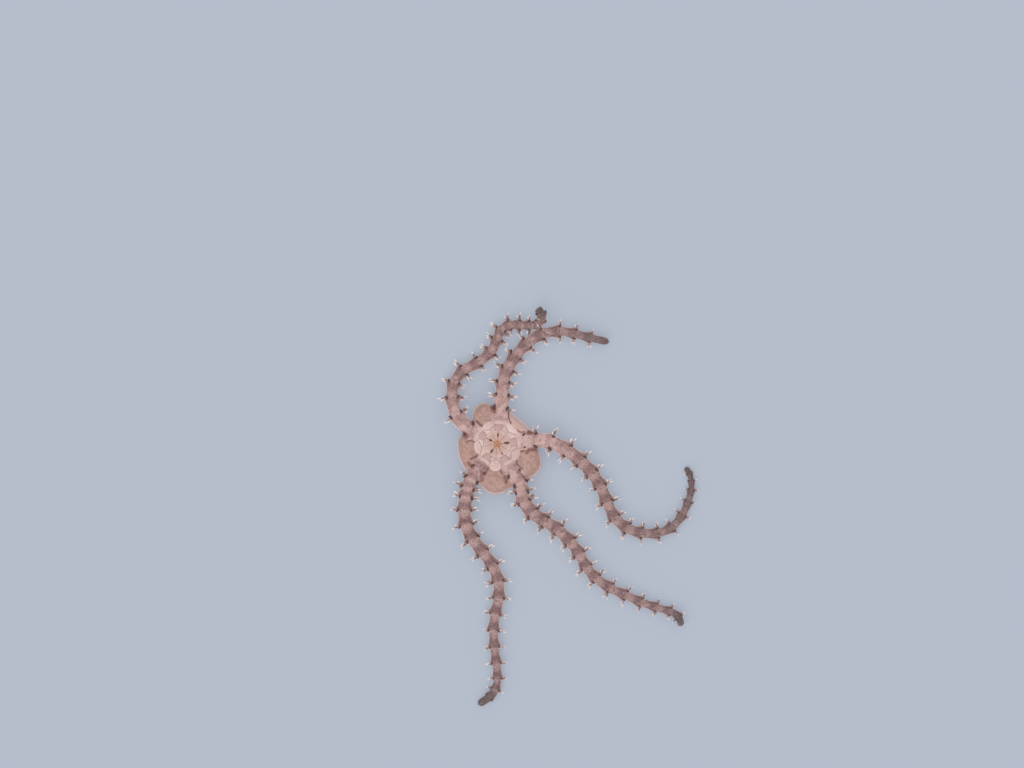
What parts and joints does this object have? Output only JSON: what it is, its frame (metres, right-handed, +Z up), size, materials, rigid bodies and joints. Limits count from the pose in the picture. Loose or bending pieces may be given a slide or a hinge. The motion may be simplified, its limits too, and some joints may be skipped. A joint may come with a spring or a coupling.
{
  "type": "brittle star",
  "caption": "Small five-armed brittle star lying on its back, mouth side up, with jointed, short-spined arms curled out on the ground.",
  "frame": {"origin": "on the ground, under the mouth, on the flat that the disc rests on", "axes": "+Z up out of the mouth; +X and +Y in the plane of the ground, with the longest arm running towards -Y"},
  "size_m": [0.0091, 0.0142, 0.0009],
  "materials": {
    "arm": "mauve brown arm plates, satin",
    "disc": "tan brown scaly skin, moist satin",
    "jaw": "pale pink mouth plates, satin"
  },
  "bodies": {
    "root": {"arm_a_1": "arm", "arm_a_2": "arm", "arm_a_3": "arm", "arm_a_4": "arm", "arm_b_1": "arm", "arm_b_2": "arm", "arm_b_3": "arm", "arm_c_1": "arm", "arm_c_2": "arm", "arm_c_3": "arm", "arm_c_4": "arm", "arm_c_5": "arm", "arm_d_1": "arm", "arm_d_2": "arm", "arm_d_3": "arm", "arm_d_4": "arm", "arm_e_1": "arm", "arm_e_2": "arm", "arm_e_3": "arm", "arm_e_4": "arm", "disc": "disc", "jaw_1": "jaw", "jaw_2": "jaw", "jaw_3": "jaw", "jaw_4": "jaw", "jaw_5": "jaw"}
  },
  "joints": []
}
